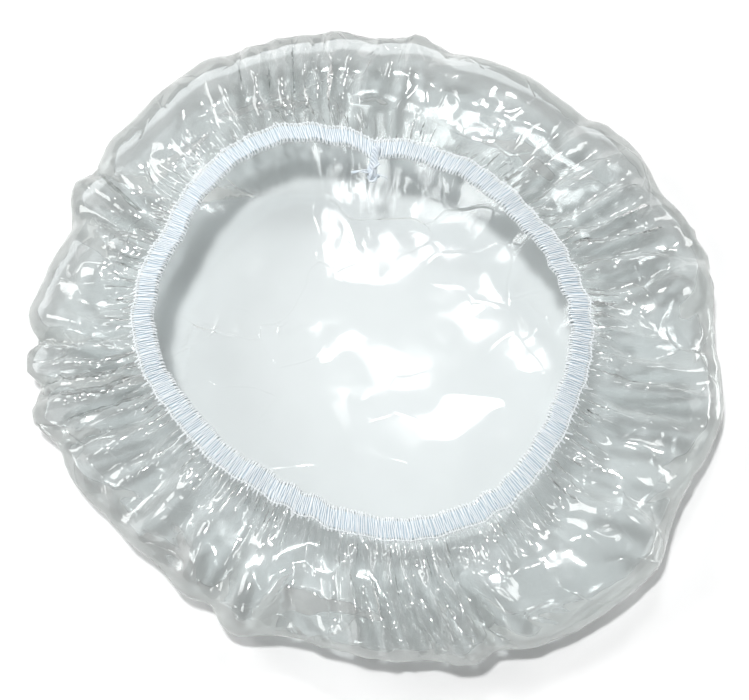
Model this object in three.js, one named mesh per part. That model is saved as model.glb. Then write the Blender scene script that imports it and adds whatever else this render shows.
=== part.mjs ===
// A clear film hair cap with a gathered elastic rim, lying on its crown with the opening facing up.
// Millimetres, +Z up out of the opening, origin on the crown's underside below the cap's middle.
// One disc of film makes the crown and the skirt. The skirt turns in over itself to the rim, where
// a three-thread overlock seam holds a flat elastic to the film's edge.

import * as THREE from "three";

// The whole cap.
const CAP_LENGTH = 250; // across X, over the skirt's outer fold
const CAP_WIDTH = 246; // across Y, over the skirt's outer fold
const CAP_HEIGHT = 37; // from the crown's underside to the top of the seam
const FILM_WALL = 0.8; // thicker than the real film, so that the solid has a wall

// The opening, measured between the rim's inner edges.
const OPENING_LENGTH = 149;
const OPENING_WIDTH = 146;
const OPENING_CENTRE = new THREE.Vector2(-5.5, -4); // the rim lies a little off the middle

// The crown and the skirt, from the side.
const CROWN_FLAT = 92; // mean radius of the part of the crown that lies flat
const FOLD_HEIGHT = 12; // height at which the skirt is widest
const SKIRT_HEIGHT = 28; // height of the skirt's shoulder, outside the rim
const SHOULDER_DISTANCE = 16; // from the seam out to the shoulder

// The rim.
const RIM_WAVE = 2; // how far the rim rises and falls from a level ring
const RIM_LEAN = THREE.MathUtils.degToRad(15); // the band's outer edge hangs lower than its inner one
const ELASTIC_WIDTH = 6;
const ELASTIC_THICKNESS = 1;
const THREAD = 0.5; // thickness of a layer of sewing thread
const NEEDLE_LINE = 0.8; // width of the line of needle stitches
const EDGE_WRAP = 0.5; // thread that turns round the raw edge
const GAP = 0.3; // clearance between pieces that touch

// The tail of the seam.
const CHAIN_LENGTH = 10;
const CHAIN_WIDTH = 5; // at the knot
const CHAIN_WAIST = 3; // between the rim and the knot
const CHAIN_ANGLE = THREE.MathUtils.degToRad(84);
const CHAIN_DROP = THREE.MathUtils.degToRad(35); // how steeply it hangs into the opening

const SEGMENTS = 72;
const TURN = 2 * Math.PI;

// Both outlines are drawn as radii at even steps round the cap, starting at +X, with 1 for round.
const FOLD_SHAPE = [1.01, 0.97, 0.93, 0.99, 1.01, 1, 1.02, 0.99, 0.96, 0.99, 1.05, 1.02];
const OPENING_SHAPE = [
  1.03, 0.95, 0.91, 0.9, 0.93, 1.05, 1.04, 1,
  1.03, 0.97, 0.93, 0.93, 1.01, 1.08, 1.07, 1.03,
];

// A smooth closed curve through a shape's radii.
function shapeRadius(shape, angle) {
  const place = (angle / TURN) * shape.length;
  const index = Math.floor(place);
  const part = place - index;
  const [before, start, end, after] = [-1, 0, 1, 2].map(
    (step) => shape[(index + step + shape.length) % shape.length],
  );
  const slope = end - before;
  const bend = 2 * before - 5 * start + 4 * end - after;
  const twist = 3 * (start - end) + after - before;
  return start + 0.5 * part * (slope + part * (bend + part * twist));
}

// An outline of the given length and width, as one point for each step round the cap.
function outline(shape, length, width) {
  const points = [];
  for (let step = 0; step < SEGMENTS; step += 1) {
    const angle = (step / SEGMENTS) * TURN;
    const radius = shapeRadius(shape, angle);
    points.push(new THREE.Vector2(radius * Math.cos(angle), radius * Math.sin(angle)));
  }
  const box = new THREE.Box2().setFromPoints(points);
  const centre = box.getCenter(new THREE.Vector2());
  const scale = new THREE.Vector2(length, width).divide(box.getSize(new THREE.Vector2()));
  return points.map((point) => point.sub(centre).multiply(scale));
}

const FOLD = outline(FOLD_SHAPE, CAP_LENGTH, CAP_WIDTH);
const OPENING = outline(OPENING_SHAPE, OPENING_LENGTH, OPENING_WIDTH);

// The band's section is drawn in its own directions: across runs outward from the inner edge,
// and up is square to the band's face. The elastic's underside is at up = 0.
const ELASTIC_START = EDGE_WRAP + GAP;
const ELASTIC_END = ELASTIC_START + ELASTIC_WIDTH;
const NEEDLE_START = ELASTIC_END + GAP;
const BAND_WIDTH = NEEDLE_START + NEEDLE_LINE;
const UPPER_BASE = ELASTIC_THICKNESS + GAP;
const UPPER_TOP = UPPER_BASE + THREAD;
const FILM_TOP = -GAP;
const FILM_BASE = FILM_TOP - FILM_WALL;
const LOWER_TOP = FILM_BASE - GAP;
const LOWER_BASE = LOWER_TOP - THREAD;
const RIM_LEVEL = CAP_HEIGHT - RIM_WAVE - UPPER_TOP * Math.cos(RIM_LEAN);

function rimHeight(angle) {
  return RIM_LEVEL + RIM_WAVE * Math.sin(2 * angle + 0.6);
}

// One place in the band's section, at one step round the rim.
function bandPoint(step, across, up) {
  const angle = (step / SEGMENTS) * TURN;
  const out = across * Math.cos(RIM_LEAN) + up * Math.sin(RIM_LEAN);
  const rise = up * Math.cos(RIM_LEAN) - across * Math.sin(RIM_LEAN);
  const radius = OPENING[step].length() + out;
  const middle = OPENING[step].clone().setLength(radius).add(OPENING_CENTRE);
  return new THREE.Vector3(middle.x, middle.y, rimHeight(angle) + rise);
}

// A closed solid from one section for each step round the cap. A ring's section is a loop. A
// bowl's section starts and ends on the upright axis, so its first and last points are shared.
function solidOfSections(sections, isBowl) {
  const positions = [];
  const numbers = sections.map((section) =>
    section.map((point) => positions.push(...point.toArray()) / 3 - 1),
  );
  const count = sections[0].length;
  const sides = isBowl ? count - 1 : count;
  const triangles = [];
  for (let step = 0; step < SEGMENTS; step += 1) {
    const here = numbers[step];
    const next = numbers[(step + 1) % SEGMENTS];
    for (let side = 0; side < sides; side += 1) {
      const following = (side + 1) % count;
      const startsOnAxis = isBowl && side === 0;
      const endsOnAxis = isBowl && side === sides - 1;
      if (!startsOnAxis) triangles.push(here[side], next[side], here[following]);
      if (!endsOnAxis) triangles.push(next[side], next[following], here[following]);
    }
  }
  if (isBowl) {
    const [first, last] = [numbers[0][0], numbers[0][count - 1]];
    const shared = new Map(numbers.flatMap((row) => [[row[0], first], [row[count - 1], last]]));
    triangles.forEach((number, place) => {
      triangles[place] = shared.get(number) ?? number;
    });
  }
  const geometry = new THREE.BufferGeometry();
  geometry.setAttribute("position", new THREE.Float32BufferAttribute(positions, 3));
  geometry.setIndex(triangles);
  geometry.computeVertexNormals();
  return geometry;
}

function bandRing(corners) {
  const sections = [];
  for (let step = 0; step < SEGMENTS; step += 1) {
    sections.push(corners.map(([across, up]) => bandPoint(step, across, up)));
  }
  return solidOfSections(sections, false);
}

// The film's outer surface at one step round the cap, from the crown's middle to the hem.
function filmOutside(step) {
  const fold = FOLD[step];
  const foldRadius = fold.length();
  const flat = CROWN_FLAT * (foldRadius / (0.5 * CAP_LENGTH));
  const seam = bandPoint(step, BAND_WIDTH + GAP, FILM_TOP);
  const hem = bandPoint(step, ELASTIC_START, FILM_TOP);
  const seamFlat = new THREE.Vector2(seam.x, seam.y);
  const shoulder = seamFlat.clone().addScaledVector(fold, SHOULDER_DISTANCE / foldRadius);
  const points = [new THREE.Vector3(0, 0, 0)];
  for (const share of [0.5, 1]) {
    const place = fold.clone().setLength(flat * share);
    points.push(new THREE.Vector3(place.x, place.y, 0));
  }
  for (const degrees of [25, 50, 70, 90]) {
    const turn = THREE.MathUtils.degToRad(degrees);
    const place = fold.clone().setLength(flat + (foldRadius - flat) * Math.sin(turn));
    points.push(new THREE.Vector3(place.x, place.y, FOLD_HEIGHT * (1 - Math.cos(turn))));
  }
  for (const degrees of [20, 45, 70, 90]) {
    const turn = THREE.MathUtils.degToRad(degrees);
    const place = shoulder.clone().lerp(fold, Math.cos(turn));
    const rise = (SKIRT_HEIGHT - FOLD_HEIGHT) * Math.sin(turn);
    points.push(new THREE.Vector3(place.x, place.y, FOLD_HEIGHT + rise));
  }
  points.push(seam, hem);
  return points;
}

// The same surface moved in by the film's wall, square to the section.
function filmInside(outside) {
  return outside.map((point, place) => {
    if (place === 0) return new THREE.Vector3(0, 0, FILM_WALL);
    const before = outside[place - 1];
    const after = outside[Math.min(place + 1, outside.length - 1)];
    const out = new THREE.Vector2(point.x, point.y).normalize();
    const along = after.clone().sub(before);
    const run = along.x * out.x + along.y * out.y;
    const length = Math.hypot(run, along.z);
    const inward = new THREE.Vector3(-out.x * along.z, -out.y * along.z, run);
    return point.clone().addScaledVector(inward, FILM_WALL / length);
  });
}

function film() {
  const sections = [];
  for (let step = 0; step < SEGMENTS; step += 1) {
    const outside = filmOutside(step);
    sections.push([...outside, ...filmInside(outside).reverse()]);
  }
  return solidOfSections(sections, true);
}

function elastic() {
  return bandRing([
    [ELASTIC_START, 0],
    [ELASTIC_END, 0],
    [ELASTIC_END, ELASTIC_THICKNESS],
    [ELASTIC_START, ELASTIC_THICKNESS],
  ]);
}

function needleThread() {
  return bandRing([
    [NEEDLE_START, 0],
    [BAND_WIDTH, 0],
    [BAND_WIDTH, ELASTIC_THICKNESS],
    [NEEDLE_START, ELASTIC_THICKNESS],
  ]);
}

// The comb of threads across the band's face. It turns down over the raw edge.
function upperLooperThread() {
  return bandRing([
    [0, 0],
    [EDGE_WRAP, 0],
    [EDGE_WRAP, UPPER_BASE],
    [BAND_WIDTH, UPPER_BASE],
    [BAND_WIDTH, UPPER_TOP],
    [0, UPPER_TOP],
  ]);
}

// The comb of threads across the band's back. It turns up to meet the upper one.
function lowerLooperThread() {
  return bandRing([
    [0, LOWER_BASE],
    [BAND_WIDTH, LOWER_BASE],
    [BAND_WIDTH, LOWER_TOP],
    [EDGE_WRAP, LOWER_TOP],
    [EDGE_WRAP, -GAP],
    [0, -GAP],
  ]);
}

// The knotted chain of all three threads, where the seam starts and ends.
function threadChain() {
  const profile = new THREE.SplineCurve([
    new THREE.Vector2(0, 0),
    new THREE.Vector2(0.5 * CHAIN_WAIST, 0.12 * CHAIN_LENGTH),
    new THREE.Vector2(0.5 * CHAIN_WAIST, 0.4 * CHAIN_LENGTH),
    new THREE.Vector2(0.5 * CHAIN_WIDTH, 0.72 * CHAIN_LENGTH),
    new THREE.Vector2(0, CHAIN_LENGTH),
  ]).getPoints(12);
  profile[0].x = 0;
  profile[profile.length - 1].x = 0;
  return new THREE.LatheGeometry(profile, 12);
}

const root = new THREE.Group();

function addPiece(name, geometry, color, roughness) {
  const material = new THREE.MeshStandardMaterial({ color, roughness, metalness: 0 });
  const piece = new THREE.Mesh(geometry, material);
  piece.name = name;
  root.add(piece);
  return piece;
}

addPiece("film", film(), "#d9dbd4", 0.12);
addPiece("elastic", elastic(), "#f4f4f0", 0.85);
addPiece("needle_thread", needleThread(), "#eef2f7", 0.8);
addPiece("upper_looper_thread", upperLooperThread(), "#eef2f7", 0.8);
addPiece("lower_looper_thread", lowerLooperThread(), "#e6ecf4", 0.8);

// The chain starts a gap inside the raw edge and hangs in and down.
const chain = addPiece("thread_chain", threadChain(), "#eef2f7", 0.8);
const chainStep = Math.round((CHAIN_ANGLE / TURN) * SEGMENTS);
const chainStart = bandPoint(chainStep, -GAP - 0.5 * CHAIN_WAIST, 0);
const inward = new THREE.Vector3(-Math.cos(CHAIN_ANGLE), -Math.sin(CHAIN_ANGLE), 0);
inward.multiplyScalar(Math.cos(CHAIN_DROP));
inward.z = -Math.sin(CHAIN_DROP);
chain.position.copy(chainStart);
chain.quaternion.setFromUnitVectors(new THREE.Vector3(0, 1, 0), inward);

export default root;
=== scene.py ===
# %% [markdown]
# # A clear film hair cap, lying on its crown
#
# The real cap is a disc of clear soft film, about 0.38 m across before it is sewn. A flat
# elastic is stretched along its edge and held there by a three-thread overlock seam. When the
# elastic lets go, the edge shrinks to a small ring, and all the film that no longer fits
# buckles into flutes and folds. This script builds it in that order: the film is cut flat,
# folded, sewn to the ring and left to find its own shape, and then the elastic, the threads
# and the knotted tail of the seam are laid over its edge.

import math

import bpy
import numpy as np
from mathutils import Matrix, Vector
from mathutils.bvhtree import BVHTree
from mathutils.geometry import delaunay_2d_cdt


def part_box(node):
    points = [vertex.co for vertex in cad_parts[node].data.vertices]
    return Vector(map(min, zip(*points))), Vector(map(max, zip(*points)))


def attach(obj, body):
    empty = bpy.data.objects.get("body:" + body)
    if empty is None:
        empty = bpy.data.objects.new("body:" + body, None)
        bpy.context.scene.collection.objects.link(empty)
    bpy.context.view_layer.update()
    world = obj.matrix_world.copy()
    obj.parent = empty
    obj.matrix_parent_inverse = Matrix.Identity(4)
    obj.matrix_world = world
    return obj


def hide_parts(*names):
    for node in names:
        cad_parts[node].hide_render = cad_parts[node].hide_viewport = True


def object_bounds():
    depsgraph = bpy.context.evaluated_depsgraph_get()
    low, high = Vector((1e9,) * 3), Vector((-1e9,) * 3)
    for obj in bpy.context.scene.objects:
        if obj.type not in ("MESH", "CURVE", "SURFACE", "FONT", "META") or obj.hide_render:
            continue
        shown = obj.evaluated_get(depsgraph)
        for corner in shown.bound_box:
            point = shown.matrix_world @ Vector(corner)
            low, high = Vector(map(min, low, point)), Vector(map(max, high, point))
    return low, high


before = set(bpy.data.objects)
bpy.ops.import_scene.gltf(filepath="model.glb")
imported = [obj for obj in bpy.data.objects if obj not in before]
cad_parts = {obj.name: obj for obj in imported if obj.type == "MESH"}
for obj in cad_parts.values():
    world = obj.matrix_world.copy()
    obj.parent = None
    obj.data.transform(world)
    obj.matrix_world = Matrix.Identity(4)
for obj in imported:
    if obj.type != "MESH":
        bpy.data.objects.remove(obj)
CAD_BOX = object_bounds()
MM = 0.001
TURN = 2 * math.pi
bpy.ops.object.select_all(action="DESELECT")
print("CAD box", [tuple(corner) for corner in CAD_BOX])

# %% [markdown]
# ## The camera
#
# The cap is seen from the front and well above, so that the whole opening shows, and a little
# of the rim's outer side on the near edge. A long lens from over a metre away keeps a flat
# object from bulging towards the viewer.

# %% Place the camera
CAMERA_ELEVATION = math.radians(68)
CAMERA_DISTANCE = 1.1
VIEW_WIDTH = 0.2695  # how wide the picture is where the cap lies
SENSOR_WIDTH = 36.0
AIM_ACROSS, AIM_DEEP = -1.0 * MM, -8.5 * MM

aim = Vector((AIM_ACROSS, AIM_DEEP, 0.5 * (CAD_BOX[0].z + CAD_BOX[1].z)))
away = Vector((0.0, -math.cos(CAMERA_ELEVATION), math.sin(CAMERA_ELEVATION)))
camera_data = bpy.data.cameras.new("camera")
camera_data.sensor_width = SENSOR_WIDTH
camera_data.lens = SENSOR_WIDTH * CAMERA_DISTANCE / VIEW_WIDTH
camera = bpy.data.objects.new("camera", camera_data)
camera.location = aim + away * CAMERA_DISTANCE
camera.rotation_euler = (-away).to_track_quat("-Z", "Y").to_euler()
bpy.context.scene.collection.objects.link(camera)
bpy.context.scene.camera = camera
print("lens", round(camera_data.lens, 1), "mm")

# %% [markdown]
# ## The two curves that everything follows
#
# Two closed curves set the cap's shape: the rim, where the elastic lies, and the outer fold,
# where the skirt turns back over the crown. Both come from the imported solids. Their points
# are spread round the cap, so a short sum of waves is fitted to them. That gives a smooth
# curve that can be asked for any direction.


# %% Read the rim and the outer fold
CURVE_WAVES = 9
SECTORS = 72


def node_points(name):
    return np.array([vertex.co[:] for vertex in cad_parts[name].data.vertices])


def waves_at(angles, count):
    columns = [np.ones_like(angles)]
    for wave in range(1, count + 1):
        columns += [np.cos(wave * angles), np.sin(wave * angles)]
    return np.stack(columns, axis=-1)


def fitted(angles, values, count):
    """A smooth closed curve through values known at scattered angles, as a function."""
    weights = np.linalg.lstsq(waves_at(angles, count), values, rcond=None)[0]
    return lambda angle: waves_at(np.asarray(angle, float), count) @ weights


def middle_of(node):
    low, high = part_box(node)
    return np.array(((low.x + high.x) / 2, (low.y + high.y) / 2, 0.0))


def directions(angles):
    """Level unit vectors pointing out at these angles."""
    return np.stack([np.cos(angles), np.sin(angles), np.zeros_like(angles)], axis=-1)


RIM_MIDDLE = middle_of("elastic")
elastic_points = node_points("elastic") - RIM_MIDDLE
elastic_angles = np.arctan2(elastic_points[:, 1], elastic_points[:, 0])
elastic_radii = np.hypot(elastic_points[:, 0], elastic_points[:, 1])
rim_radius = fitted(elastic_angles, elastic_radii, CURVE_WAVES)
rim_height = fitted(elastic_angles, elastic_points[:, 2], CURVE_WAVES)

film_points = node_points("film")
film_angles = np.arctan2(film_points[:, 1], film_points[:, 0])
film_radii = np.hypot(film_points[:, 0], film_points[:, 1])
sectors = np.floor((film_angles + math.pi) / TURN * SECTORS)
farthest = [
    np.flatnonzero(sectors == sector)[np.argmax(film_radii[sectors == sector])]
    for sector in np.unique(sectors)
]
fold_radius = fitted(film_angles[farthest], film_radii[farthest], CURVE_WAVES)
print("rim radius", rim_radius(np.zeros(1)), "fold radius", fold_radius(np.zeros(1)))

# %% [markdown]
# The rim is a flat band that leans a little: its inner, raw edge stands higher than its outer
# edge, where the line of needle stitches runs. Places on the band are given as a distance
# across it, outward from the middle of the elastic, and a distance up from its face.

# %% Places on the band
BAND_LEAN = math.radians(15)
RAW_EDGE = -3.8 * MM  # the film's cut edge, with the threads that wrap it
NEEDLE_LINE = 3.8 * MM


def ripple(rng, size, slowest, fastest):
    """A small uneven wobble round the rim, as a function of the direction."""
    counts = np.arange(slowest, fastest)
    sizes = rng.normal(size=len(counts)) * size / math.sqrt(len(counts))
    starts = rng.uniform(0, TURN, len(counts))
    return lambda angle: np.cos(angle[..., None] * counts + starts) @ sizes


ripple_out = ripple(np.random.default_rng(3), 0.40 * MM, 12, 60)
ripple_up = ripple(np.random.default_rng(4), 0.45 * MM, 8, 45)
TAIL_ANGLE = math.radians(86)
PINCH_DEPTH = 3.5 * MM  # the knotted tail draws the rim in where the seam starts and ends
PINCH_WIDTH = math.radians(6)


def on_band(angles, across, up):
    """Points on the rim's band, which lies round the opening."""
    angles = np.asarray(angles, float)
    from_tail = (angles - TAIL_ANGLE + math.pi) % TURN - math.pi
    across = across - PINCH_DEPTH * np.exp(-((from_tail / PINCH_WIDTH) ** 2))
    out = across * math.cos(BAND_LEAN) + up * math.sin(BAND_LEAN) + ripple_out(angles)
    rise = up * math.cos(BAND_LEAN) - across * math.sin(BAND_LEAN) + ripple_up(angles)
    points = RIM_MIDDLE + directions(angles) * (rim_radius(angles) + out)[..., None]
    points[..., 2] = rim_height(angles) + rise
    return points


opening_round = np.linspace(0, TURN, 721)
rim_line = on_band(opening_round, 0.0, 0.0)
RIM_LENGTH = np.linalg.norm(np.diff(rim_line, axis=0), axis=1).sum()
print("relaxed rim", round(RIM_LENGTH, 4), "m round")

# %% [markdown]
# ## The film, cut flat
#
# Film has no weave, so its mesh shouldn't have rows either: creases would follow them. Points
# are laid in rings, closer together near the edge where the pleats are small, and each is
# nudged at random. Triangles between the nearest points then give a sheet that can crease in
# any direction. The flat places are kept on the mesh, because they are the film's true size.

# %% Cut the disc of film
FILM_RADIUS = 190 * MM
FILM_WIDTH = 2 * FILM_RADIUS
EDGE_SPACING = 2.3 * MM
CROWN_SPACING = 3.7 * MM
SPACING_CHANGE = 70 * MM
POINT_NUDGE = 0.2


def flat_disc(rng):
    rings, radius = [np.zeros((1, 2))], FILM_RADIUS
    while radius > 2 * CROWN_SPACING:
        share = min((FILM_RADIUS - radius) / SPACING_CHANGE, 1)
        spacing = EDGE_SPACING + (CROWN_SPACING - EDGE_SPACING) * share
        count = round(TURN * radius / spacing)
        angles = rng.random() * TURN + np.arange(count) * TURN / count
        nudge = POINT_NUDGE * spacing * (radius < FILM_RADIUS)
        radii = radius + rng.uniform(-nudge, nudge, count)
        angles = angles + rng.uniform(-nudge, nudge, count) / radius
        rings.append(np.stack([radii * np.cos(angles), radii * np.sin(angles)], axis=1))
        radius -= spacing * math.sqrt(3) / 2
    return np.concatenate(rings)


def triangles_between(points):
    vectors = [Vector(point) for point in points]
    found = delaunay_2d_cdt(vectors, [], [], 0, 1e-9)
    places = np.array([place[:] for place in found[0]])
    faces = np.array(found[2])
    first, second, third = (places[faces[:, corner]] for corner in range(3))
    turning = np.cross(second - first, third - first)
    faces[turning < 0] = faces[turning < 0][:, ::-1]
    return places, faces


rng = np.random.default_rng(7)
FLAT, FILM_FACES = triangles_between(flat_disc(rng))
FROM_MIDDLE = np.hypot(FLAT[:, 0], FLAT[:, 1])
FROM_EDGE = FILM_RADIUS - FROM_MIDDLE
FLAT_ANGLES = np.arctan2(FLAT[:, 1], FLAT[:, 0])
print("film", len(FLAT), "points", len(FILM_FACES), "triangles")

# %% [markdown]
# ## The film, folded and gathered
#
# The disc is first folded along a smooth section: flat on the table, round the outer fold, in
# over the shoulder and up to the seam. Each point goes as far along that section as it lies
# from the disc's middle. The rings of film are now too long for the circles they lie on, by
# almost two and a half times at the rim. That extra length is pushed into waves: many short
# ones at the seam, which join into fewer and longer ones on the way out. The waves only
# start the film off. The simulation after this finds where it really wants to fold.

# %% Fold the disc
CROWN_FLAT = 0.74  # share of the outer fold's radius that lies on the table
FOLD_HEIGHT = 12 * MM
SHOULDER_HEIGHT = 26 * MM
SHOULDER_DISTANCE = 15 * MM
UNDER_ELASTIC = -0.8 * MM


def section(angles):
    """Points along the cap's section in each of these directions, from crown to raw edge."""
    fold = directions(angles) * fold_radius(angles)[:, None]
    seam = on_band(angles, NEEDLE_LINE, UNDER_ELASTIC)
    level = seam * (1, 1, 0)
    shoulder = level + directions(angles) * SHOULDER_DISTANCE
    points = [0 * fold]
    for degrees in (0, 20, 40, 60, 75, 90):
        turn = math.radians(degrees)
        share = CROWN_FLAT + (1 - CROWN_FLAT) * math.sin(turn)
        points.append(fold * share + (0, 0, FOLD_HEIGHT * (1 - math.cos(turn))))
    for degrees in (15, 30, 50, 70, 90):
        turn = math.radians(degrees)
        rise = (SHOULDER_HEIGHT - FOLD_HEIGHT) * math.sin(turn)
        place = shoulder + (fold - shoulder) * math.cos(turn)
        points.append(place + (0, 0, FOLD_HEIGHT + rise))
    points += [seam, on_band(angles, RAW_EDGE, UNDER_ELASTIC)]
    return np.stack(points)


def along(points, shares):
    """Where each share of its own section's length falls."""
    lengths = np.linalg.norm(np.diff(points, axis=0), axis=2)
    ends = np.cumsum(lengths, axis=0)
    goal = shares * ends[-1]
    piece = np.minimum((goal > ends).sum(axis=0), len(lengths) - 1)
    column = np.arange(len(shares))
    done = goal - (ends - lengths)[piece, column]
    part = np.clip(done / lengths[piece, column], 0, 1)[:, None]
    return points[piece, column] * (1 - part) + points[piece + 1, column] * part


def corner_normals(points, faces):
    first, second, third = (points[faces[:, corner]] for corner in range(3))
    across = np.cross(second - first, third - first)
    sums = np.zeros_like(points)
    for corner in range(3):
        np.add.at(sums, faces[:, corner], across)
    return sums / np.linalg.norm(sums, axis=1, keepdims=True)


whole_section = section(FLAT_ANGLES)
section_length = np.linalg.norm(np.diff(whole_section, axis=0), axis=2).sum(axis=0)
FOLDED = along(whole_section, FROM_MIDDLE / FILM_RADIUS)
OUTWARD = -corner_normals(FOLDED, FILM_FACES)
print("mean section length", round(float(section_length.mean()), 4), "m")


# %% Push the extra length into waves
def ease(value, start, end):
    """0 before start, 1 after end and smooth between."""
    part = np.clip((value - start) / (end - start), 0, 1)
    return part * part * (3 - 2 * part)


def uneven_waves(count, wander, rng):
    """About count waves round the cap, no two of one width or height."""
    drift, height = np.zeros(len(FLAT)), np.zeros(len(FLAT))
    for bend in range(2, 14):
        drift += rng.normal() * wander / bend * np.cos(bend * FLAT_ANGLES + rng.uniform(0, TURN))
        height += rng.normal() * np.cos(bend * FLAT_ANGLES + rng.uniform(0, TURN))
    return np.cos(count * FLAT_ANGLES + drift) * (0.85 + 0.35 * np.tanh(0.45 * height)) / count


def crumple(places, cell, height, rng):
    """Heights of a sheet of flat facets about cell wide, with sharp creases between them."""
    steps = np.arange(-1.3 * FILM_RADIUS, 1.3 * FILM_RADIUS, cell)
    corners = np.stack(np.meshgrid(steps, steps), axis=-1).reshape(-1, 2)
    corners += rng.uniform(-0.48 * cell, 0.48 * cell, corners.shape)
    corners, faces = triangles_between(corners)
    raised = np.column_stack([corners, rng.uniform(-height, height, len(corners))])
    tree = BVHTree.FromPolygons(raised.tolist(), faces.tolist())
    down = Vector((0, 0, -1))
    return np.array([tree.ray_cast(Vector((x, y, 1)), down)[0].z for x, y in places])


def between(inner, outer, soft):
    """1 on the film that lies between these distances from its edge."""
    return ease(FROM_EDGE, inner, inner + soft) * (1 - ease(FROM_EDGE, outer - soft, outer))


FLUTES, FOLDS, LOBES = 124, 40, 15
FLUTE_PUSH, FOLD_PUSH, LOBE_PUSH = 0.9, 1.0, 0.4
SEWN_WIDTH = 7.0 * MM  # the film nearer to its edge than this is held by the seam
FREE_FROM = 9.5 * MM
TABLE_GAP = 0.3 * MM
round_here = np.hypot(*(FOLDED - RIM_MIDDLE)[:, :2].T)
too_long = np.clip(FROM_MIDDLE / np.maximum(round_here, 1 * MM) - 1, 0, 2)
reach = np.sqrt(too_long) * 2 * round_here
HELD = 1 - ease(FROM_EDGE, SEWN_WIDTH, FREE_FROM)
flutes = uneven_waves(FLUTES, 3.0, rng) * (1 - ease(FROM_EDGE, 12 * MM, 28 * MM))
folds = uneven_waves(FOLDS, 9.0, rng) * between(9 * MM, 60 * MM, 18 * MM)
lobes = uneven_waves(LOBES, 7.0, rng) * between(22 * MM, 105 * MM, 30 * MM)
CRUMPLED = crumple(FLAT, 30 * MM, 3.2 * MM, rng) + crumple(FLAT, 14 * MM, 0.8 * MM, rng)
CRUMPLED *= 0.35 + 0.65 * (1 - ease(FROM_EDGE, 70 * MM, 95 * MM))
push = reach * (FLUTE_PUSH * flutes + FOLD_PUSH * folds + LOBE_PUSH * lobes) + CRUMPLED
WAVED = FOLDED + OUTWARD * (push * ease(FROM_EDGE, 7.5 * MM, 14 * MM))[:, None]
WAVED[:, 2] = np.maximum(WAVED[:, 2], TABLE_GAP)
print("longest push", round(float(np.abs(push).max()) / MM, 1), "mm")

# %% [markdown]
# ## Let the film settle
#
# The cloth simulation knows two things about the film: its flat size, from the shape key, and
# that it hardly stretches. Everything within the seam is pinned. In a second or so of cloth
# time the waves sort themselves into flutes with sharp ends, as thin plastic does, because it
# would rather crease than stretch. The weight is turned down, as film this light hardly sags.

# %% Simulate the film
SIM_FRAMES = 34
SEEDED_CREASES = 0.6  # how much of the crumpled start the film keeps as its own shape


def mesh_object(name, points, faces):
    mesh = bpy.data.meshes.new(name)
    mesh.from_pydata(points.tolist(), [], faces.tolist())
    piece = bpy.data.objects.new(name, mesh)
    bpy.context.scene.collection.objects.link(piece)
    return piece


def add_table_top():
    """A surface under the cap for the simulation alone."""
    bpy.ops.mesh.primitive_plane_add(size=1, location=(0, 0, -0.6 * MM))
    top = bpy.context.object
    top.modifiers.new("Collision", "COLLISION")
    top.collision.thickness_outer = 0.6 * MM
    return top


def settle(piece):
    """The mesh that the cloth simulation makes of piece."""
    piece.shape_key_add(name="folded")
    flat = piece.shape_key_add(name="flat")
    flat.data.foreach_set("co", np.column_stack([FLAT, SEEDED_CREASES * CRUMPLED]).ravel())
    flat.value = 0
    pins = piece.vertex_groups.new(name="sewn")
    for point in np.flatnonzero(HELD > 0.01):
        pins.add([int(point)], float(HELD[point]), "REPLACE")
    cloth = piece.modifiers.new("Cloth", "CLOTH")
    cloth.settings.rest_shape_key = flat
    cloth.settings.vertex_group_mass = pins.name
    cloth.settings.quality = 8
    cloth.settings.mass = 0.001
    cloth.settings.air_damping = 2
    cloth.settings.tension_stiffness = 80
    cloth.settings.compression_stiffness = 80
    cloth.settings.shear_stiffness = 30
    cloth.settings.bending_stiffness = 2
    cloth.settings.effector_weights.gravity = 0.3
    cloth.collision_settings.distance_min = 0.5 * MM
    cloth.point_cache.frame_end = SIM_FRAMES
    for number in range(1, SIM_FRAMES + 1):
        bpy.context.scene.frame_set(number)
    scene_now = bpy.context.evaluated_depsgraph_get()
    settled = bpy.data.meshes.new_from_object(piece.evaluated_get(scene_now))
    bpy.context.scene.frame_set(1)
    return np.array([vertex.co[:] for vertex in settled.vertices])


trial = mesh_object("film_trial", WAVED, FILM_FACES)
table_top = add_table_top()
SETTLED = settle(trial)
bpy.data.objects.remove(trial)
bpy.data.objects.remove(table_top)
print("settled film", SETTLED.min(axis=0), SETTLED.max(axis=0))

# %% [markdown]
# ## Creases
#
# Thin film that has been folded into a packet keeps sharp creases with flat facets between
# them, and close to the seam it is gathered into pleats only a millimetre or two apart. Both
# are finer than the simulated mesh, so every triangle is split in four first. The facets and
# pleats then move the film along its own normals.

# %% Crease the film
PLEATS = 215
PLEAT_HEIGHT = 1.1 * MM
PLEAT_LENGTH = 15 * MM  # from the raw edge to where the pleats start to fade
PLEAT_FADE = 8 * MM


def halved(faces, *places):
    """Faces split in four, and each set of places with a point added on every edge."""
    edges = np.sort(np.concatenate([faces[:, [0, 1]], faces[:, [1, 2]], faces[:, [2, 0]]]))
    edges, found = np.unique(edges, axis=0, return_inverse=True)
    ab, bc, ca = (len(places[0]) + found.reshape(3, -1)).astype(int)
    a, b, c = faces.T
    corners = [(a, ab, ca), (ab, b, bc), (ca, bc, c), (ab, bc, ca)]
    split = np.concatenate([np.stack(corner, axis=1) for corner in corners])
    return split, *(np.concatenate([place, place[edges].mean(axis=1)]) for place in places)


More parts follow.
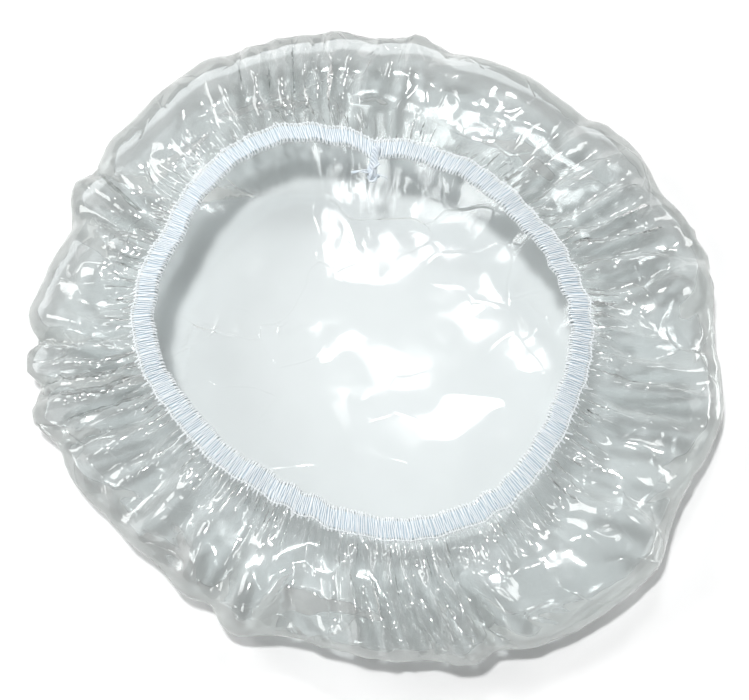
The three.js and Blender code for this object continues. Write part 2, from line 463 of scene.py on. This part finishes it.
FINE_FACES, FINE, FINE_FLAT = halved(FILM_FACES, SETTLED, FLAT)
fine_from_edge = FILM_RADIUS - np.hypot(FINE_FLAT[:, 0], FINE_FLAT[:, 1])
fine_angles = np.arctan2(FINE_FLAT[:, 1], FINE_FLAT[:, 0])
pleat_drift = ripple(rng, 5.0, 2, 30)(fine_angles)
pleat_end = PLEAT_LENGTH + ripple(rng, 5 * MM, 5, 60)(fine_angles)
pleats = PLEAT_HEIGHT * np.cos(PLEATS * fine_angles + pleat_drift)
pleats *= 0.25 + 0.75 * ease(fine_from_edge, SEWN_WIDTH, 11 * MM)
pleats *= 1 - ease(fine_from_edge, pleat_end, pleat_end + PLEAT_FADE)
facets = crumple(FINE_FLAT, 27 * MM, 1.2 * MM, rng)
facets += crumple(FINE_FLAT, 12 * MM, 0.3 * MM, rng)
in_skirt = 1 - ease(fine_from_edge, 75 * MM, 95 * MM)
facets *= ease(fine_from_edge, 9 * MM, 25 * MM) * (1 + in_skirt)
FINE_OUT = -corner_normals(FINE, FINE_FACES)
CREASED = FINE + FINE_OUT * (pleats + facets)[:, None]
CREASED[:, 2] = np.maximum(CREASED[:, 2], TABLE_GAP)
film = mesh_object("cap_film", CREASED, FINE_FACES[:, ::-1])
film.data.shade_smooth()
flat_map = film.data.uv_layers.new(name="flat")
corner_points = np.array([loop.vertex_index for loop in film.data.loops])
flat_map.data.foreach_set("uv", (FINE_FLAT[corner_points] / FILM_WIDTH + 0.5).ravel())
print("film piece", len(film.data.polygons), "triangles")

# %% [markdown]
# ## The elastic
#
# The elastic is a flat braid: a few thick rubber-cored ribs side by side, with finer yarn
# over and under them. Only its middle shows between the threads. Its section, with the ribs
# on both faces, is carried round the rim as one closed band.

# %% Make the elastic
ELASTIC_WIDTH = 6.0 * MM
ELASTIC_HALF = 0.45 * MM
RIBS = 7
ELASTIC_STEPS = 480


def closed_band(name, section_round, steps):
    """A ring with the same closed section, given as across and up pairs, all the way."""
    angles = np.arange(steps) * TURN / steps
    rows = [on_band(angles, across, up) for across, up in section_round]
    points = np.stack(rows, axis=1).reshape(-1, 3)
    count = len(section_round)
    here = np.arange(steps * count).reshape(steps, count)
    ahead = np.roll(here, -1, axis=0)
    faces = np.stack([here, np.roll(here, -1, 1), np.roll(ahead, -1, 1), ahead], axis=-1)
    return mesh_object(name, points, faces.reshape(-1, 4))


side = np.linspace(-0.5, 0.5, 4 * RIBS + 1)
rib_height = ELASTIC_HALF * (0.78 + 0.22 * np.abs(np.cos(RIBS * math.pi * side)))
upper_face = [(ELASTIC_WIDTH * x, y) for x, y in zip(side, rib_height)]
lower_face = [(ELASTIC_WIDTH * x, -y) for x, y in zip(side[::-1], rib_height[::-1])]
elastic = closed_band("rim_elastic", upper_face + lower_face, ELASTIC_STEPS)
elastic.data.shade_smooth()
print("elastic", len(elastic.data.polygons), "faces")

# %% [markdown]
# ## The overlock threads
#
# Three threads hold the edge. The upper looper's thread runs over the elastic: out from the
# raw edge, round the needle thread and back, once in every stitch. That makes the comb of
# fine radial loops that covers the band. The lower looper's thread does the same underneath.
# The needle thread runs round the outer side and dips through the film between stitches.
# Each is one closed thread, so each is one long curve with a round section.

# %% Thread tools
STITCHES = 345
THREAD_RADIUS = 0.19 * MM
STITCH = TURN / STITCHES


def threaded(name, points, radius, closed=True):
    """A round thread along points, as a mesh."""
    curve = bpy.data.curves.new(name, "CURVE")
    curve.dimensions = "3D"
    curve.bevel_depth = radius
    curve.bevel_resolution = 1
    curve.use_fill_caps = True
    spline = curve.splines.new("POLY")
    spline.points.add(len(points) - 1)
    spline.points.foreach_set("co", np.column_stack([points, np.ones(len(points))]).ravel())
    spline.use_cyclic_u = closed
    piece = bpy.data.objects.new(name, curve)
    bpy.context.scene.collection.objects.link(piece)
    bpy.ops.object.select_all(action="DESELECT")
    bpy.context.view_layer.objects.active = piece
    piece.select_set(True)
    bpy.ops.object.convert(target="MESH")
    piece = bpy.context.object
    piece.data.shade_smooth()
    print(name, len(piece.data.vertices), "points")
    return piece


def stitched(shape, rng, wander):
    """Angles and across, up pairs of one stitch's shape, repeated round the rim."""
    part, across, up = np.array(shape).T
    starts = np.arange(STITCHES)[:, None] + rng.uniform(-wander, wander, (STITCHES, 1))
    angles = (starts + part) * STITCH
    return angles, np.tile(across, (STITCHES, 1)) * MM, np.tile(up, (STITCHES, 1)) * MM


# %% [markdown]
# Most loops of the upper thread reach the needle line and stop. Here and there one was left
# slack and sticks out past it by a millimetre or two, drooping over the film, and more do so
# where the band is bunched. The lower thread stays neater.

# %% Make the upper looper thread
rng = np.random.default_rng(21)
upper_shape = [
    (0.00, -4.05, -0.75),
    (0.10, -4.25, -0.10),
    (0.18, -3.70, 0.72),
    (0.22, -1.60, 0.80),
    (0.24, 1.40, 0.80),
    (0.27, 3.60, 0.62),
    (0.38, 4.30, 0.20),
    (0.54, 4.30, 0.20),
    (0.66, 3.60, 0.62),
    (0.70, 1.40, 0.80),
    (0.73, -1.60, 0.80),
    (0.78, -3.70, 0.72),
    (0.90, -4.25, -0.10),
]
OUTER_END = [6, 7]
INNER_END = [0, 1, 12]
LONGEST_SLACK = 3.2 * MM
SIDEWAYS = 0.17  # how far the two sides of a loop stray, in stitches
angles, across, up = stitched(upper_shape, rng, 0.12)
slack = rng.gamma(0.7, 0.85, STITCHES) * MM
slack = np.minimum(slack, LONGEST_SLACK)[:, None]
across[:, OUTER_END] += slack + rng.uniform(-0.2, 0.3, (STITCHES, 1)) * MM
up[:, OUTER_END] -= 0.35 * slack
angles[:, OUTER_END] += rng.uniform(-0.35, 0.35, (STITCHES, 1)) * STITCH * slack / MM
across[:, INNER_END] += rng.uniform(-0.35, 0.25, (STITCHES, 1)) * MM
up += rng.uniform(-0.08, 0.16, up.shape) * MM
angles[:, 2:6] += rng.uniform(-SIDEWAYS, SIDEWAYS, (STITCHES, 4)) * STITCH
angles[:, 8:12] += rng.uniform(-SIDEWAYS, SIDEWAYS, (STITCHES, 4)) * STITCH
upper_points = on_band(angles, across, up).reshape(-1, 3)
upper_looper = threaded("upper_looper", upper_points, THREAD_RADIUS)

# %% Make the lower looper thread
lower_shape = [
    (0.05, -4.15, -0.20),
    (0.20, -3.80, -1.20),
    (0.25, 0.00, -1.32),
    (0.30, 3.50, -1.20),
    (0.50, 3.95, -1.15),
    (0.70, 3.50, -1.20),
    (0.75, 0.00, -1.32),
    (0.80, -3.80, -1.20),
    (0.95, -4.15, -0.20),
]
angles, across, up = stitched(lower_shape, rng, 0.10)
across[:, 4] += rng.uniform(-0.2, 0.8, STITCHES) * MM
up += rng.uniform(-0.08, 0.05, up.shape) * MM
lower_points = on_band(angles, across, up).reshape(-1, 3)
lower_looper = threaded("lower_looper", lower_points, THREAD_RADIUS)

# %% Make the needle thread
needle_shape = [(0.0, 3.75, -0.2), (0.15, 3.85, 0.85), (0.45, 3.9, 0.98), (0.8, 3.85, 0.85)]
angles, across, up = stitched(needle_shape, rng, 0.05)
across += rng.uniform(-0.12, 0.12, across.shape) * MM
needle_points = on_band(angles, across, up).reshape(-1, 3)
needle_line = threaded("needle_line", needle_points, THREAD_RADIUS)

# %% [markdown]
# ## The knotted tail
#
# Where the seam starts and ends, the machine ran on past the edge for a little and made a
# chain of its threads. It was knotted and cut off short, so a small tangle hangs inside the
# opening, with a few cut ends. The chain is five strands twisted together, the tangle is
# three overhand knots on it, each drawn as a trefoil and tipped its own way, and three loose
# ends stick out to the sides.

# %% Make the tail
TAIL_IN = Vector(-directions(np.array([TAIL_ANGLE]))[0])
TAIL_SIDE = TAIL_IN.cross(Vector((0, 0, 1)))
tail_root = Vector(on_band(np.array([TAIL_ANGLE]), RAW_EDGE, 0.6 * MM)[0])
CHAIN_STRANDS = 5
CHAIN_RADIUS = 1.15 * MM
CHAIN_TURNS = 1.6
CHAIN_THREAD = 0.48 * MM


def tail_place(inward, sideways, upward):
    place = tail_root + TAIL_IN * inward + TAIL_SIDE * sideways
    return np.array(place + Vector((0, 0, upward)))


def tail_run(places):
    """A smooth line through a few places, in millimetres from where the tail leaves the rim."""
    goal = np.linspace(0, len(places) - 1, 10 * len(places))
    ways = [np.interp(goal, np.arange(len(places)), way) for way in np.array(places).T]
    soft = [np.convolve(np.pad(way, 4, mode="edge"), np.ones(9) / 9, "valid") for way in ways]
    return np.array([tail_place(*(np.array(point) * MM)) for point in zip(*soft)])


def twisted(line, radius, turns, start):
    """A strand that winds round a line."""
    turn = start + np.linspace(0, TURN * turns, len(line))
    side = np.array(TAIL_SIDE)
    rise = np.array((0.0, 0.0, 1.0))
    return line + radius * (np.cos(turn)[:, None] * side + np.sin(turn)[:, None] * rise)


knot_turn = np.linspace(0, TURN, 90, endpoint=False)
knot_x = np.sin(knot_turn) + 2 * np.sin(2 * knot_turn)
knot_y = np.cos(knot_turn) - 2 * np.cos(2 * knot_turn)
knot_z = -np.sin(3 * knot_turn)


def knot(centre, tip, size, radius, name):
    """A tight knot round the tail, tipped out of level about the way the tail hangs."""
    high = knot_z * math.cos(tip) + knot_y * math.sin(tip)
    wide = knot_y * math.cos(tip) - knot_z * math.sin(tip)
    offsets = np.stack([knot_x, wide, high], axis=1) * size + np.array(centre) * MM
    return threaded(name, np.array([tail_place(*offset) for offset in offsets]), radius)


chain_line = tail_run([(-3.5, -0.6, 1.2), (0, 0, 1.0), (3.5, 0.2, 0.0), (7.5, 0.2, -2.6)])
end_left = tail_run([(6, -0.5, -2.0), (6.6, -2.4, -1.6), (6.9, -4.4, -2.2), (7.4, -5.4, -3.0)])
end_right = tail_run([(5.6, 0.5, -1.8), (6.0, 3.0, -1.0), (5.6, 5.6, -0.9), (6.2, 8.4, -1.7)])
end_over = tail_run([(5.2, 0.5, -1.4), (5.2, 3.4, -0.4), (6.3, 6.0, -0.8), (6.6, 7.6, -1.2)])
chain = []
for number in range(CHAIN_STRANDS):
    strand_line = twisted(chain_line, CHAIN_RADIUS, CHAIN_TURNS, number * TURN / CHAIN_STRANDS)
    chain.append(threaded(f"tail_chain_{number}", strand_line, CHAIN_THREAD, False))
strands = [
    knot((5.6, 0.1, -1.6), 0.9, 0.90 * MM, 0.50 * MM, "tail_knot"),
    knot((7.0, 0.4, -2.6), 2.1, 0.78 * MM, 0.46 * MM, "tail_knot_below"),
    knot((3.8, -0.1, -0.4), -0.9, 0.78 * MM, 0.46 * MM, "tail_knot_above"),
    *chain,
    threaded("tail_end_left", end_left, 0.26 * MM, False),
    threaded("tail_end_right", end_right, 0.36 * MM, False),
    threaded("tail_end_over", end_over, 0.28 * MM, False),
]
bpy.ops.object.select_all(action="DESELECT")
for strand in strands:
    strand.select_set(True)
bpy.context.view_layer.objects.active = strands[0]
bpy.ops.object.join()
seam_tail = bpy.context.object
seam_tail.name = "seam_tail"
print("tail", len(seam_tail.data.polygons), "faces")

# %% [markdown]
# ## Materials
#
# Both fibres share one effect, the fine unevenness of spun yarn: a group that gives a shade
# that varies a little from place to place and a bumpy height.

# %% The yarn effect
def add_node(tree, kind, **settings):
    """A new node, with its unlinked sockets set by their names."""
    node = tree.nodes.new(kind)
    for socket, value in settings.items():
        node.inputs[socket.replace("_", " ")].default_value = value
    return node


yarn = bpy.data.node_groups.new("yarn_unevenness", "ShaderNodeTree")
yarn.interface.new_socket("Scale", in_out="INPUT", socket_type="NodeSocketFloat")
yarn.interface.new_socket("Dark", in_out="INPUT", socket_type="NodeSocketColor")
yarn.interface.new_socket("Light", in_out="INPUT", socket_type="NodeSocketColor")
yarn.interface.new_socket("Color", in_out="OUTPUT", socket_type="NodeSocketColor")
yarn.interface.new_socket("Height", in_out="OUTPUT", socket_type="NodeSocketFloat")
given = yarn.nodes.new("NodeGroupInput")
result = yarn.nodes.new("NodeGroupOutput")
places = yarn.nodes.new("ShaderNodeTexCoord")
fibres = add_node(yarn, "ShaderNodeTexNoise", Detail=3.0, Roughness=0.6)
patches = add_node(yarn, "ShaderNodeTexNoise", Scale=420.0, Detail=2.0)
blend = yarn.nodes.new("ShaderNodeMix")
blend.data_type = "RGBA"
yarn.links.new(places.outputs["Object"], fibres.inputs["Vector"])
yarn.links.new(places.outputs["Object"], patches.inputs["Vector"])
yarn.links.new(given.outputs["Scale"], fibres.inputs["Scale"])
yarn.links.new(patches.outputs["Fac"], blend.inputs["Factor"])
yarn.links.new(given.outputs["Dark"], blend.inputs["A"])
yarn.links.new(given.outputs["Light"], blend.inputs["B"])
yarn.links.new(blend.outputs["Result"], result.inputs["Color"])
yarn.links.new(fibres.outputs["Fac"], result.inputs["Height"])


# %% Thread and elastic
def yarn_material(name, dark, light, scale, roughness, bump_height):
    material = bpy.data.materials.new(name)
    material.use_nodes = True
    tree = material.node_tree
    shader = tree.nodes["Principled BSDF"]
    shader.inputs["Roughness"].default_value = roughness
    shader.inputs["Sheen Weight"].default_value = 0.3
    shader.inputs["Subsurface Weight"].default_value = 0.15
    shader.inputs["Subsurface Radius"].default_value = (0.0004, 0.0004, 0.0004)
    shader.inputs["Subsurface Scale"].default_value = 1.0
    uneven = tree.nodes.new("ShaderNodeGroup")
    uneven.node_tree = yarn
    uneven.inputs["Scale"].default_value = scale
    uneven.inputs["Dark"].default_value = (*dark, 1)
    uneven.inputs["Light"].default_value = (*light, 1)
    bump = add_node(tree, "ShaderNodeBump", Strength=0.6, Distance=bump_height)
    tree.links.new(uneven.outputs["Color"], shader.inputs["Base Color"])
    tree.links.new(uneven.outputs["Height"], bump.inputs["Height"])
    tree.links.new(bump.outputs["Normal"], shader.inputs["Normal"])
    return material


thread_material = yarn_material(
    "sewing_thread", (0.84, 0.90, 0.94), (0.96, 0.985, 0.995), 5200.0, 0.6, 0.06 * MM
)
# The tail is the same thread as the seam. Its darker blue-grey patches are painted shade for the
# shadows in the knotted tangle.
tail_painted_shade_material = yarn_material(
    "tail_thread_painted_shade", (0.50, 0.60, 0.70), (0.93, 0.96, 0.98), 5200.0, 0.6, 0.06 * MM
)
# The elastic is a darker blue-grey than the threads, so the gaps between the threads show as
# painted blue shade.
elastic_painted_shade_material = yarn_material(
    "elastic_braid", (0.43, 0.52, 0.60), (0.66, 0.75, 0.80), 2600.0, 0.75, 0.1 * MM
)

# %% [markdown]
# The film is clear, thin and slightly milky. It lets most light straight through and takes a
# little of it, so it looks greyer where more layers lie over each other. The rest mirrors
# the lights: weakly where it is seen face on, strongly where it is seen along its surface.
# Smears and packet creases are placed on the flat map, so they run over every fold. The skirt
# is made a little milkier than the crown, for the crinkles too fine to be in its mesh.

# %% Film
FILM_TINT = (0.888, 0.915, 0.919, 1)
MILKY_CROWN, MILKY_SKIRT = 0.04, 0.17
SKIRT_START = 0.22  # on the flat map, where the middle is 0 and the cut edge 0.5
film_material = bpy.data.materials.new("clear_film")
film_material.use_nodes = True
tree = film_material.node_tree
surface = tree.nodes["Principled BSDF"]
surface.inputs["Base Color"].default_value = (0.92, 0.93, 0.92, 1)
surface.inputs["Metallic"].default_value = 0.45
through = add_node(tree, "ShaderNodeBsdfTransparent", Color=FILM_TINT)
gloss = add_node(tree, "ShaderNodeFresnel", IOR=1.7)
from_middle = tree.nodes.new("ShaderNodeVectorMath")
from_middle.operation = "DISTANCE"
from_middle.inputs[1].default_value = (0.5, 0.5, 0.0)
crinkled = add_node(tree, "ShaderNodeMapRange", From_Min=SKIRT_START, From_Max=0.30)
crinkled.inputs["To Min"].default_value = MILKY_CROWN
crinkled.inputs["To Max"].default_value = MILKY_SKIRT
milky = tree.nodes.new("ShaderNodeMath")
milky.use_clamp = True
both = tree.nodes.new("ShaderNodeMixShader")
flat_places = tree.nodes.new("ShaderNodeUVMap")
flat_places.uv_map = "flat"
smears = add_node(tree, "ShaderNodeTexNoise", Scale=26.0, Detail=4.0, Roughness=0.6)
rubbed = add_node(tree, "ShaderNodeMapRange", From_Min=0.35, From_Max=0.75, To_Min=0.06)
rubbed.inputs["To Max"].default_value = 0.20
bend = add_node(tree, "ShaderNodeTexNoise", Scale=7.0, Detail=2.0)
bent = tree.nodes.new("ShaderNodeMix")
bent.data_type = "VECTOR"
bent.inputs["Factor"].default_value = 0.12
cracks = add_node(tree, "ShaderNodeTexVoronoi", Scale=17.0)
cracks.feature = "DISTANCE_TO_EDGE"
lines = add_node(tree, "ShaderNodeMapRange", From_Max=0.03, To_Min=1.0, To_Max=0.0)
where = add_node(tree, "ShaderNodeTexNoise", Scale=9.0, Detail=1.0)
some = add_node(tree, "ShaderNodeMapRange", From_Min=0.46, From_Max=0.58)
kept = tree.nodes.new("ShaderNodeMath")
kept.operation = "MULTIPLY"
outer = add_node(tree, "ShaderNodeMapRange", From_Min=SKIRT_START, From_Max=0.32, To_Min=0.3)
creases = tree.nodes.new("ShaderNodeMath")
creases.operation = "MULTIPLY"
crease_bump = add_node(tree, "ShaderNodeBump", Strength=0.5, Distance=0.45 * MM)
tree.links.new(flat_places.outputs["UV"], smears.inputs["Vector"])
tree.links.new(flat_places.outputs["UV"], bend.inputs["Vector"])
tree.links.new(flat_places.outputs["UV"], bent.inputs["A"])
tree.links.new(bend.outputs["Color"], bent.inputs["B"])
tree.links.new(bent.outputs["Result"], cracks.inputs["Vector"])
tree.links.new(cracks.outputs["Distance"], lines.inputs["Value"])
tree.links.new(flat_places.outputs["UV"], where.inputs["Vector"])
tree.links.new(where.outputs["Fac"], some.inputs["Value"])
tree.links.new(lines.outputs["Result"], kept.inputs[0])
tree.links.new(some.outputs["Result"], kept.inputs[1])
tree.links.new(from_middle.outputs["Value"], outer.inputs["Value"])
tree.links.new(kept.outputs["Value"], creases.inputs[0])
tree.links.new(outer.outputs["Result"], creases.inputs[1])
tree.links.new(creases.outputs["Value"], crease_bump.inputs["Height"])
tree.links.new(smears.outputs["Fac"], rubbed.inputs["Value"])
tree.links.new(rubbed.outputs["Result"], surface.inputs["Roughness"])
tree.links.new(crease_bump.outputs["Normal"], surface.inputs["Normal"])
tree.links.new(crease_bump.outputs["Normal"], gloss.inputs["Normal"])
tree.links.new(flat_places.outputs["UV"], from_middle.inputs[0])
tree.links.new(from_middle.outputs["Value"], crinkled.inputs["Value"])
tree.links.new(gloss.outputs["Fac"], milky.inputs[0])
tree.links.new(crinkled.outputs["Result"], milky.inputs[1])
tree.links.new(milky.outputs["Value"], both.inputs["Fac"])
tree.links.new(through.outputs["BSDF"], both.inputs[1])
tree.links.new(surface.outputs["BSDF"], both.inputs[2])
tree.links.new(both.outputs["Shader"], tree.nodes["Material Output"].inputs["Surface"])

for piece, material in (
    (film, film_material),
    (elastic, elastic_painted_shade_material),
    (upper_looper, thread_material),
    (lower_looper, thread_material),
    (needle_line, thread_material),
    (seam_tail, tail_painted_shade_material),
):
    piece.data.materials.clear()
    piece.data.materials.append(material)

# %% [markdown]
# ## Which piece stands for which solid
#
# Nothing on the cap moves as a mechanism, so every piece rides on its one body. Each piece
# stands in for the plain solid of the same part.

# %% Ride and replace
for piece, node, slot in (
    (film, "film", "clear_film"),
    (elastic, "elastic", "elastic_braid"),
    (upper_looper, "upper_looper_thread", "sewing_thread"),
    (lower_looper, "lower_looper_thread", "sewing_thread"),
    (needle_line, "needle_thread", "sewing_thread"),
    (seam_tail, "thread_chain", "sewing_thread"),
):
    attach(piece, "root")
    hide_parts(node)

# %% [markdown]
# ## Table and light
#
# The cap lies on a plain white surface under soft white light. A broad lamp high above casts
# the band's soft shadow on the crown, and the sky gives a faint even fill. Three soft lamps
# stand high round the far side, where their mirror images fall on the facets of the film,
# and a faint one fills the near side.

# %% Make the floor
bpy.ops.mesh.primitive_plane_add(size=6, location=(0, 0, -0.2 * MM))
floor = bpy.context.object
floor.name = "floor"
floor_material = bpy.data.materials.new("floor")
floor_material.use_nodes = True
paint = floor_material.node_tree
matt = paint.nodes["Principled BSDF"]
matt.inputs["Roughness"].default_value = 0.9
matt.inputs["Specular IOR Level"].default_value = 0.1
grain = add_node(paint, "ShaderNodeTexNoise", Scale=60.0, Detail=3.0)
shades = paint.nodes.new("ShaderNodeValToRGB")
shades.color_ramp.elements[0].color = (0.90, 0.90, 0.90, 1)
shades.color_ramp.elements[1].color = (0.93, 0.93, 0.93, 1)
floor_places = paint.nodes.new("ShaderNodeTexCoord")
paint.links.new(floor_places.outputs["Object"], grain.inputs["Vector"])
paint.links.new(grain.outputs["Fac"], shades.inputs["Fac"])
paint.links.new(shades.outputs["Color"], matt.inputs["Base Color"])
floor.data.materials.append(floor_material)

# %% Set the lights
sky = bpy.data.worlds.new("sky")
sky.use_nodes = True
air = sky.node_tree
ways = air.nodes.new("ShaderNodeTexCoord")
parts = air.nodes.new("ShaderNodeSeparateXYZ")
brightness = air.nodes.new("ShaderNodeValToRGB")
brightness.color_ramp.elements[0].position = 0.05
brightness.color_ramp.elements[0].color = (0.5, 0.5, 0.5, 1)
brightness.color_ramp.elements[1].position = 0.75
brightness.color_ramp.elements[1].color = (0.12, 0.12, 0.12, 1)
air.links.new(ways.outputs["Generated"], parts.inputs["Vector"])
air.links.new(parts.outputs["Z"], brightness.inputs["Fac"])
air.links.new(brightness.outputs["Color"], air.nodes["Background"].inputs["Color"])
bpy.context.scene.world = sky


def soft_lamp(name, place, kind, energy, **settings):
    lamp = bpy.data.lights.new(name, kind)
    lamp.energy = energy
    for setting, value in settings.items():
        setattr(lamp, setting, value)
    holder = bpy.data.objects.new(name, lamp)
    holder.location = place
    holder.rotation_euler = (-Vector(place)).to_track_quat("-Z", "Y").to_euler()
    bpy.context.scene.collection.objects.link(holder)


soft_lamp("high_lamp", (-0.16, 0.00, 1.25), "SUN", 1.82, angle=math.radians(6))
soft_lamp("far_lamp", (0.10, 0.67, 1.00), "AREA", 2.4, size=0.25)
soft_lamp("right_lamp", (0.85, 0.40, 0.75), "AREA", 2.2, size=0.40)
soft_lamp("left_lamp", (-0.90, 0.25, 0.70), "AREA", 5.0, size=0.60)
soft_lamp("near_lamp", (-0.30, -0.95, 0.85), "AREA", 1.4, size=0.33)
bpy.context.scene.view_settings.view_transform = "Standard"
